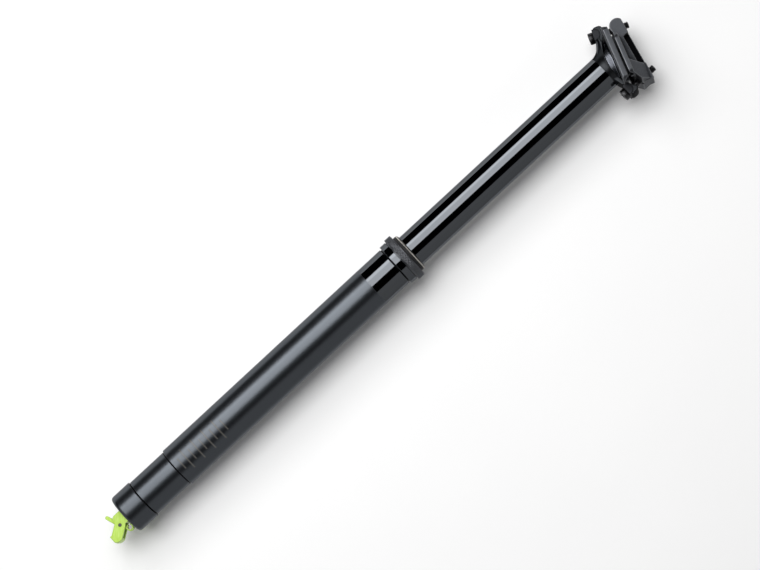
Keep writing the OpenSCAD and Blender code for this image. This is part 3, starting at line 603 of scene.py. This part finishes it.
class SEATPOST_OT_collar(bpy.types.Operator):
    """Collar with its knurled flange, the wiper lip and the coil spring round it"""

    bl_idname = "seatpost.collar"
    bl_label = "Collar and Wiper"

    def execute(self, context):
        sizes = context.window_manager.seatpost_collar
        foot, top = low("collar")[2], high("collar")[2]
        flange_r = high("collar")[0]
        sleeve_r = TUBE_R + 1.4
        sleeve_top, flange_foot = foot + 5.1, foot + 5.6
        groove_r, bore_r = sleeve_r - 0.7, SPIGOT_R + 0.05
        seat_r, throat_r = STANCHION_R + 1.5, STANCHION_R + 0.6
        seat = low("wiper_seal")[2]
        spigot_top = high("outer_tube")[2]
        outline = fillet([
            (bore_r, foot), (sleeve_r, foot), (sleeve_r, sleeve_top), (groove_r, sleeve_top),
            (groove_r, flange_foot), (flange_r, flange_foot), (flange_r, top), (seat_r, top), (seat_r, seat),
            (throat_r, seat), (throat_r, spigot_top), (bore_r, spigot_top)],
            [0.1, 0.4, 0.25, 0.1, 0.1, 0.6, 0.7, 0.15, 0.1, 0.1, 0.1, 0.1])
        # The flange's flat side gets 40 rows, for the knurl.
        step = np.linspace(0, 1, 40)[:, None]
        start = np.flatnonzero(outline[:, 0] > flange_r - 1e-6)
        rows = outline[start[0]] * (1 - step) + outline[start[-1]] * step
        outline = np.concatenate([outline[:start[0]], rows, outline[start[-1] + 1:]])
        grid = revolve(outline, 10 * sizes.knurls)
        # Diamond knurl: depth * |sin((n a + k z) / 2) sin((n a - k z) / 2)|, faded out towards the flange's edges.
        a = np.arctan2(grid[..., 1], grid[..., 0])
        z = grid[..., 2]
        turn = sizes.knurls / flange_r
        ridge = np.abs(np.sin((sizes.knurls * a + turn * z) / 2) * np.sin((sizes.knurls * a - turn * z) / 2))
        room = np.clip((z - flange_foot - 0.5) / 0.3, 0, 1) * np.clip((top - 0.6 - z) / 0.3, 0, 1)
        room = room * (np.hypot(grid[..., 0], grid[..., 1]) > flange_r - 0.05)
        grid[..., :2] *= (1 - sizes.knurl_depth / MM / flange_r * (1 - ridge) * room)[..., None]
        middle = (outline[:, 1] + np.roll(outline[:, 1], -1)) / 2
        collar = piece_from_grid("collar_ring", grid, [finish_for("knurl"), finish_for("gloss")],
                                 finish_of=middle < sleeve_top + 0.01)
        join(collar, "lower_post", "black_collar", "collar")

        lip_r, lip_top = high("wiper_seal")[0], high("wiper_seal")[2]
        ring_z = (low("wiper_spring")[2] + high("wiper_spring")[2]) / 2
        ring_r = high("wiper_spring")[0] - 0.3
        inner = STANCHION_R + 0.05
        lip = fillet([
            (inner, seat), (seat_r, seat), (seat_r, top), (lip_r, top), (lip_r, ring_z - 0.5),
            (ring_r - 0.15, ring_z - 0.4), (ring_r - 0.15, ring_z + 0.4), (lip_r - 0.25, ring_z + 0.5),
            (inner + 0.8, lip_top), (inner, lip_top)],
            [0.1, 0.1, 0.1, 0.3, 0.2, 0.15, 0.15, 0.2, 0.3, 0.08])
        join(piece_from_grid("wiper_lip", revolve(lip, 256), [finish_for("rubber")]), "lower_post", "black_rubber",
             "wiper_seal")

        # Helix wound round a ring: the coil's angle b runs coils times round while a runs once round the post.
        coil_r, wire_r = 0.3, 0.16
        a = np.linspace(0, 2 * np.pi, sizes.coils * 8, endpoint=False)[:, None]
        b = sizes.coils * a
        c = np.linspace(0, 2 * np.pi, 6, endpoint=False)[None, :]
        out = np.stack([np.cos(b) * np.cos(a), np.cos(b) * np.sin(a), np.sin(b)], -1)
        spine = np.stack([ring_r * np.cos(a), ring_r * np.sin(a), ring_z + 0 * a], -1) + coil_r * out
        tangent = np.roll(spine, -1, 0) - np.roll(spine, 1, 0)
        tangent /= np.linalg.norm(tangent, axis=-1, keepdims=True)
        side = np.cross(tangent, out)
        wire = spine + wire_r * (np.cos(c)[..., None] * out + np.sin(c)[..., None] * side)
        spring = piece_from_grid("wiper_coil", wire, [finish_for("spring_steel")])
        join(spring, "lower_post", "bright_steel", "wiper_spring")
        return {"FINISHED"}


class SEATPOST_OT_clamp(bpy.types.Operator):
    """Lower and upper half of the saddle clamp"""

    bl_idname = "seatpost.clamp"
    bl_label = "Saddle Clamp"

    def execute(self, context):
        voxel = context.window_manager.seatpost_clamp.voxel
        lower = softened("lower_clamp", "lower_forging", voxel, 14, finish_for("clamp"), turn=RAIL_TILT)
        join(lower, "saddle_clamp", "blasted_grey_clamp", "lower_clamp")
        # The cradle's sides are turned: under the wings |y| is at most sqrt(R^2 - x^2) - R + half the block's width.
        points, _, v = rail_frame(lower.data)
        y = np.abs(points[:, 1])
        along = np.clip(points[:, 0], -CRADLE_END, CRADLE_END)
        side = np.sqrt(CRADLE_CURVE ** 2 - along ** 2) - CRADLE_CURVE + CRADLE_HALF
        under = np.clip((CRADLE_TOP - v) / CRADLE_FADE, 0, 1) * (y < WING_FROM)
        points[:, 1] = np.sign(points[:, 1]) * (y - under * np.maximum(y - side, 0))
        lower.data.vertices.foreach_set("co", (points * MM).ravel())
        turned = under > 0.5
        corners = np.empty(len(lower.data.loops), np.int32)
        lower.data.loops.foreach_get("vertex_index", corners)
        starts = np.empty(len(lower.data.polygons), np.int32)
        lower.data.polygons.foreach_get("loop_start", starts)
        lower.data.materials.append(finish_for("cradle"))
        lower.data.polygons.foreach_set("material_index", turned[corners[starts]].astype(np.int32))
        weld(lower.data, 0.04 * MM)

        upper = softened("upper_clamp", "upper_forging", voxel, 14, finish_for("clamp"), turn=RAIL_TILT)
        join(upper, "saddle_clamp", "blasted_grey_clamp", "upper_clamp")
        # Painted shade in the milled pockets beside the spine: points between the spine and the lobes' sides, below
        # the straight top line, are marked so that the clamp's material turns them nearly black.
        points, u, v = rail_frame(upper.data)
        y = np.abs(points[:, 1])
        pocket_shade = (y > POCKET_IN) & (y < POCKET_OUT) & (u > POCKET_REAR) & (u < POCKET_FRONT) & (v > POCKET_FLOOR)
        shade_amount = pocket_shade * np.clip((RIM_HEIGHT + RIM_SLOPE * u - RIM_DROP - v) / RIM_FADE, 0, 1)
        upper.data.attributes.new("pocket_shade", "FLOAT", "POINT").data.foreach_set("value", shade_amount)
        return {"FINISHED"}


class SEATPOST_OT_bolts(bpy.types.Operator):
    """Clamp bolts with their threads and sockets, the half-round washers and the barrel nuts"""

    bl_idname = "seatpost.bolts"
    bl_label = "Clamp Bolts"

    def execute(self, context):
        pitch = context.window_manager.seatpost_clamp.pitch / MM
        shank_r, head_r, head_len, flat, reach, socket = 2.5, 4.25, 3.6, 1.0, 26.0, 2.0
        under, tip = -flat, reach - flat
        thread_from, thread_deep = 9.0, 0.55 * pitch
        flutes, flute_deep = 32, 0.09
        face = under - head_len
        socket_foot = face + 2.4
        rows = np.array([
            # radius, height, weight of the hexagon
            (0, socket_foot, 1), (socket, socket_foot, 1), (socket, face + 0.35, 1), (socket + 0.42, face, 0),
            (head_r - 0.65, face, 0), (head_r - 0.2, face + 0.14, 0), (head_r, face + 0.6, 0),
            (head_r, under - 0.3, 0), (head_r - 0.2, under, 0), (shank_r + 0.3, under, 0), (shank_r, under + 0.3, 0),
            (shank_r, thread_from - 0.2, 0)])
        z = np.arange(thread_from, tip - 0.55, pitch / 10)
        thread = np.stack([0 * z + shank_r, z, 0 * z], -1)
        end = np.array([(shank_r, tip - 0.5, 0), (shank_r - 0.55, tip, 0), (0, tip, 0)])
        rows = np.concatenate([rows, thread, end])
        a = np.linspace(0, 2 * np.pi, 192, endpoint=False)
        # Hexagon of half width s: r = s / cos(a mod 60 deg - 30 deg). Thread: r falls by the depth times the
        # triangle wave of z / pitch - a / 2 pi.
        hexagon = 1 / np.cos(np.mod(a, np.pi / 3) - np.pi / 6)
        r = rows[:, :1] * np.where(rows[:, 2:] > 0, hexagon, 1.0)
        wave = np.abs(2 * np.mod(rows[:, 1:2] / pitch - a / (2 * np.pi), 1) - 1)
        cut = (rows[:, 1:2] >= thread_from) & (rows[:, 1:2] < tip - 0.5)
        r = r - np.where(cut, thread_deep * np.clip(1.25 * wave - 0.125, 0, 1), 0)
        flute = (rows[:, 1:2] > face + 0.5) & (rows[:, 1:2] < under - 0.2) & (rows[:, 2:] == 0)
        r = r - np.where(flute, flute_deep * (0.5 + 0.5 * np.cos(flutes * a)), 0)
        local = np.stack([r * np.cos(a), r * np.sin(a), rows[:, 1:2] + 0 * a], -1)
        for side in ("front", "rear"):
            pivot, nut = PIVOT[side + "_screw_lean"], PIVOT[side + "_nut_turn"]
            bolt = piece_from_grid(side + "_cap_screw", place(local, pivot, nut - pivot),
                                   [finish_for("black_steel")], wrap=(False, True))
            join(bolt, side + "_screw", "black_steel", side + "_bolt")
            washer = softened(side + "_washer", side + "_half_washer", 0.00016, 3, finish_for("nut"))
            join(washer, side + "_screw", "black_steel", side + "_washer")
            barrel = softened(side + "_barrel_nut", side + "_barrel", 0.00018, 3, finish_for("nut"))
            join(barrel, side + "_nut", "black_steel", side + "_barrel_nut")
        return {"FINISHED"}


class SEATPOST_OT_release(bpy.types.Operator):
    """Lime bracket and release lever under the bottom cap, with the axle"""

    bl_idname = "seatpost.release"
    bl_label = "Release"

    def execute(self, context):
        voxel = context.window_manager.seatpost_release.voxel
        bracket = softened("actuator_bracket", "release_bracket", voxel, 4, finish_for("lime"))
        join(bracket, "lower_post", "lime_anodised", "actuator_bracket")
        lever = softened("release_lever", "release_rocker", voxel, 4, finish_for("lime"))
        join(lever, "lever", "lime_anodised", "release_lever")
        half = high("pivot_pin")[1]
        axle_r = (high("pivot_pin")[0] - low("pivot_pin")[0]) / 2
        core = 0.01
        outline = fillet([(core, -half), (axle_r, -half), (axle_r, half), (core, half)], [0.004, 0.3, 0.3, 0.004])
        turned = revolve(outline, 64)[..., [0, 2, 1]] * np.array([1, 1, -1])
        axle = piece_from_grid("lever_axle", turned + PIVOT["release_lever_pull"], [finish_for("black_steel")])
        join(axle, "lower_post", "black_steel", "pivot_pin")
        return {"FINISHED"}


class SEATPOST_OT_inner(bpy.types.Operator):
    """Finishes of the pieces inside the tubes, whose solids are shown as they are"""

    bl_idname = "seatpost.inner"
    bl_label = "Inner Pieces"

    def execute(self, context):
        for key, names in {
            "rubber": ("collar_oring", "cap_oring", "piston_seal", "rod_seal", "guide_oring", "floating_seals",
                       "top_bumper", "bottom_bumper"),
            "polymer": ("upper_bushing", "lower_bushing", "valve_cap"),
            "brass": ("guide_keys", "valve_core", "valve_poppet"),
            "bright_steel": ("release_pin", "cartridge_rod"),
            "aluminium": ("cartridge_nut", "main_piston", "cartridge_body", "inner_tube", "rod_guide",
                          "cartridge_head", "floating_piston"),
        }.items():
            for name in names:
                mesh = frame["nodes"][name].data
                mesh.materials.clear()
                mesh.materials.append(finish_for(key))
        return {"FINISHED"}


class SEATPOST_OT_stage(bpy.types.Operator):
    """Floor, softbox, reflection cards, room light and the camera"""

    bl_idname = "seatpost.stage"
    bl_label = "Stage"

    def execute(self, context):
        sizes = context.window_manager.seatpost_stage
        scene = context.scene
        scene.view_settings.view_transform = "Standard"
        up = Vector((0, 0, 1))
        toward = Vector((math.sin(sizes.turn), -math.cos(sizes.turn), 0))
        left = Vector((-math.cos(sizes.turn), -math.sin(sizes.turn), 0))

        camera = bpy.data.objects.new("camera", bpy.data.cameras.new("camera"))
        pieces_collection().objects.link(camera)
        c, s = math.cos(sizes.lean), math.sin(sizes.lean)
        right, above = up * c - left * s, up * s + left * c
        aim = up * AIM_UP + left * AIM_LEFT
        eye = aim + toward * sizes.distance
        camera.matrix_world = Matrix((right, above, toward)).transposed().to_4x4()
        camera.location = eye
        # The photograph shows 1.424 pixels to a millimetre on the post, and is 760 pixels wide.
        camera.data.sensor_width = 36
        camera.data.lens = 1424 * sizes.distance / 760 * 36
        camera.data.clip_end = 30
        scene.camera = camera

        def board(name, centre, normal, width, length):
            """Rectangle that faces a direction, with its length along the post."""
            across = up.cross(normal).normalized()
            corners = [centre + across * x * width / 2 + up * y * length / 2
                       for x, y in ((-1, -1), (1, -1), (1, 1), (-1, 1))]
            mesh = bpy.data.meshes.new(name)
            mesh.from_pydata([tuple(v) for v in corners], [], [(0, 1, 2, 3)])
            made = bpy.data.objects.new(name, mesh)
            pieces_collection().objects.link(made)
            return made

        # White sweep behind the post. Seen from its back it lets the view through.
        floor = board("floor", toward * -FLOOR_BACK, toward, 6, 6)
        paper = bpy.data.materials.new("White paper sweep")
        paper.use_nodes = True
        tree = paper.node_tree
        tree.nodes.clear()
        fibre = node(tree, "ShaderNodeTexNoise", {"Scale": 60.0, "Detail": 4.0})
        tint = blend(tree, fibre.outputs["Fac"], (0.95, 0.95, 0.95, 1), (0.98, 0.98, 0.98, 1))
        matt = node(tree, "ShaderNodeBsdfDiffuse", {"Color": tint})
        clear = node(tree, "ShaderNodeBsdfTransparent")
        behind = node(tree, "ShaderNodeNewGeometry").outputs["Backfacing"]
        seen = node(tree, "ShaderNodeMixShader", {0: behind, 1: matt.outputs[0], 2: clear.outputs[0]})
        node(tree, "ShaderNodeOutputMaterial", {"Surface": seen.outputs[0]})
        floor.data.materials.append(paper)
        floor.visible_shadow = False

        def around(angle, reach):
            """Point that far from the post, turned from the camera's side towards the upper left."""
            return aim + (toward * math.cos(angle) + left * math.sin(angle)) * reach

        def lamp(name, start, stop, reach, foot, top, radiance):
            """Panel of light along the post between two angles round it and two heights, seen at a brightness."""
            light = bpy.data.lights.new(name, "AREA")
            light.shape = "RECTANGLE"
            light.size = 2 * reach * math.tan(math.radians(stop - start) / 2)
            light.size_y = top - foot
            light.energy = radiance * math.pi * light.size * light.size_y
            made = bpy.data.objects.new(name, light)
            pieces_collection().objects.link(made)
            spot = around(math.radians(start + stop) / 2, reach)
            facing = (spot - aim).normalized()
            made.matrix_world = Matrix((up.cross(facing), up, facing)).transposed().to_4x4()
            made.location = Vector((spot.x, spot.y, (foot + top) / 2))
            made.visible_camera = False
            return made

        # Name, first and last angle, reach, foot and top of each panel, and its brightness.
        panels = {name: lamp(name, *rest) for name, *rest in (
            ("softbox", 3, 35.5, 1.0, -0.46, 0.32, sizes.softbox),
            ("rim_strip", 35.5, 51, 1.0, -0.46, 0.32, sizes.rim),
            ("floor_fill", 6, 30, 5.0, -1.25, 1.25, sizes.fill),
            ("back_softbox", 165, 205, 1.2, -0.5, 0.32, sizes.softbox))}
        panels["floor_fill"].visible_glossy = False

        black = bpy.data.materials.new("Black velvet card")
        black.use_nodes = True
        velvet = black.node_tree.nodes["Principled BSDF"]
        velvet.inputs["Base Color"].default_value = (0.002, 0.002, 0.002, 1)
        velvet.inputs["Roughness"].default_value = 1.0
        velvet.inputs["Specular IOR Level"].default_value = 0.0
        for name, start, stop in (("card_left", 53, 112), ("card_right", -37.5, 2.5)):
            mid, span = math.radians((start + stop) / 2), math.radians((stop - start) / 2)
            spot = around(mid, CARD_REACH)
            card = board(name, spot, (aim - spot).normalized(), 2 * CARD_REACH * math.tan(span), CARD_LEN)
            card.data.materials.append(black)
            card.visible_camera = card.visible_shadow = card.visible_transmission = False

        # Low cards that stand on the floor along the post, so that its edges don't mirror the white paper.
        grey = bpy.data.materials.new("Grey card")
        grey.use_nodes = True
        grey.node_tree.nodes.clear()
        glow = node(grey.node_tree, "ShaderNodeEmission", {"Strength": LOW_GLOW * sizes.room})
        node(grey.node_tree, "ShaderNodeOutputMaterial", {"Surface": glow.outputs[0]})
        for name, reach, finish in (("low_card_left", LOW_LEFT, black), ("low_card_right", LOW_RIGHT, grey)):
            card = board(name, aim + left * reach + toward * LOW_MID, left * -reach, LOW_HEIGHT, CARD_LEN)
            card.data.materials.append(finish)
            card.visible_camera = card.visible_shadow = card.visible_transmission = card.visible_diffuse = False

        world = bpy.data.worlds.new("room")
        scene.world = world
        world.use_nodes = True
        air = world.node_tree.nodes["Background"]
        air.inputs["Color"].default_value = (1, 1, 1, 1)
        air.inputs["Strength"].default_value = sizes.room
        return {"FINISHED"}


class SEATPOST_PT_panel(bpy.types.Panel):
    """Sizes, colours and build steps of the seatpost"""

    bl_label = "Seatpost"
    bl_space_type = "VIEW_3D"
    bl_region_type = "UI"
    bl_category = "Seatpost"

    def draw(self, context):
        for name, group in GROUPS.items():
            box = self.layout.box()
            box.label(text=group.__doc__)
            for prop in group.__annotations__:
                box.prop(getattr(context.window_manager, name), prop)
        for operator in STEPS:
            self.layout.operator(operator.bl_idname)


GROUPS = {"seatpost_tubes": TubeSizes, "seatpost_collar": CollarSizes, "seatpost_clamp": ClampSizes,
          "seatpost_release": ReleaseSizes, "seatpost_stage": StageSizes}
STEPS = (SEATPOST_OT_stage, SEATPOST_OT_tubes, SEATPOST_OT_collar, SEATPOST_OT_clamp, SEATPOST_OT_bolts,
         SEATPOST_OT_release, SEATPOST_OT_inner)


def register():
    for cls in (*GROUPS.values(), *STEPS, SEATPOST_PT_panel):
        bpy.utils.register_class(cls)
    for name, group in GROUPS.items():
        setattr(bpy.types.WindowManager, name, PointerProperty(type=group))


def unregister():
    for name in GROUPS:
        delattr(bpy.types.WindowManager, name)
    for cls in reversed((*GROUPS.values(), *STEPS, SEATPOST_PT_panel)):
        bpy.utils.unregister_class(cls)


def main():
    register()
    bpy.ops.seatpost.stage()
    bpy.ops.seatpost.tubes()
    bpy.ops.seatpost.collar()
    bpy.ops.seatpost.clamp()
    bpy.ops.seatpost.bolts()
    bpy.ops.seatpost.release()
    bpy.ops.seatpost.inner()


if __name__ == "__main__":
    main()
